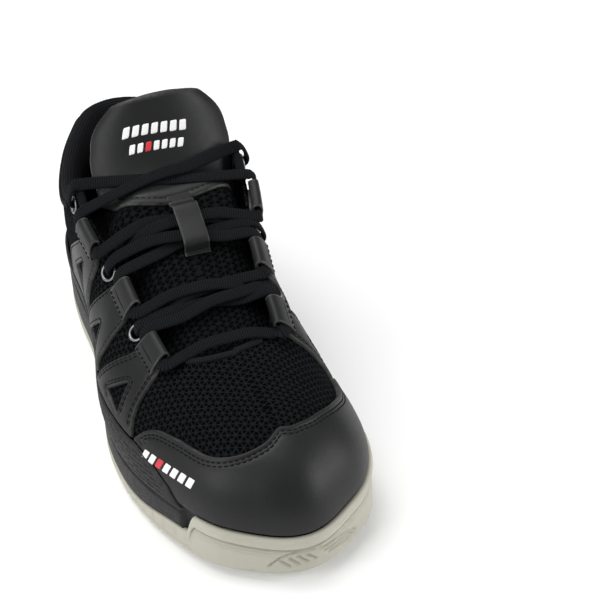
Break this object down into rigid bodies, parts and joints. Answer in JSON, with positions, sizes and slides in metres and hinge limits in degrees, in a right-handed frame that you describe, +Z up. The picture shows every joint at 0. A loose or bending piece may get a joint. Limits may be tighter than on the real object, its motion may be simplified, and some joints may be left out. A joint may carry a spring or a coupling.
{
  "type": "court shoe",
  "caption": "Right indoor court shoe: rubber cupsole, foam midsole, knit upper with leather overlays, lace loops, padded collar and tongue, lift-out insole.",
  "frame": {"origin": "middle of the sole's footprint on the floor", "axes": "+Z up, toe towards -Y, heel towards +Y, lateral side towards -X, medial side towards +X"},
  "size_m": [0.1124, 0.2961, 0.142],
  "materials": {
    "outsole_rubber": "satin light warm grey moulded gum rubber",
    "midsole_foam": "matte black moulded foam",
    "shank_steel": "brushed",
    "lasting_board": "stiff fibreboard",
    "insole": "brushed textile over soft foam",
    "knit_mesh": "open three-dimensional knit, black with a grey zigzag yarn",
    "leather": "satin charcoal-black synthetic leather with fine grain and stitched edges",
    "stiffener": "matte thermoplastic sheet",
    "foam": "open-cell foam",
    "lining": "ribbed textile",
    "binding": "rolled textile binding",
    "eyelet_metal": "bright nickel",
    "lace": "flat woven polyester with a ribbed weave",
    "aglet": "clear-coated black"
  },
  "bodies": {
    "shoe": {"outsole": "outsole_rubber", "midsole": "midsole_foam", "shank": "shank_steel", "lasting_board": "lasting_board", "vamp_mesh": "knit_mesh", "quarter_mesh_lateral": "knit_mesh", "quarter_mesh_medial": "knit_mesh", "tongue_pad_lower": "knit_mesh", "toe_cap": "leather", "heel_overlay": "leather", "lace_keeper": "leather", "toe_puff": "stiffener", "heel_counter": "stiffener", "collar_foam": "foam", "collar_lining": "lining", "collar_binding": "binding", "throat_binding": "binding", "lace": "lace", "aglet_1": "aglet", "aglet_2": "aglet", "lateral_overlay_1": "leather", "lace_loop_lateral_1": "leather", "eyelet_lateral_1": "eyelet_metal", "lateral_overlay_2": "leather", "lace_loop_lateral_2": "leather", "eyelet_lateral_2": "eyelet_metal", "lateral_overlay_3": "leather", "lace_loop_lateral_3": "leather", "eyelet_lateral_3": "eyelet_metal", "medial_overlay_1": "leather", "lace_loop_medial_1": "leather", "eyelet_medial_1": "eyelet_metal", "medial_overlay_2": "leather", "lace_loop_medial_2": "leather", "eyelet_medial_2": "eyelet_metal", "medial_overlay_3": "leather", "lace_loop_medial_3": "leather", "eyelet_medial_3": "eyelet_metal"},
    "tongue_top": {"tongue_pad_upper": "lining", "tongue_cover": "leather"},
    "insole": {"insole": "insole"}
  },
  "joints": [
    {"name": "tongue_top_flex", "type": "hinge", "parent": "shoe", "child": "tongue_top", "pos_m": [0.008, 0.0425, 0.108], "axis": [1, 0, 0], "range_deg": [-8, 35], "stiffness_Nm_per_rad": 0.15},
    {"name": "insole_lift", "type": "hinge", "parent": "shoe", "child": "insole", "pos_m": [0.009, -0.1345, 0.0203], "axis": [1, 0, 0], "range_deg": [0, 4.5]}
  ]
}
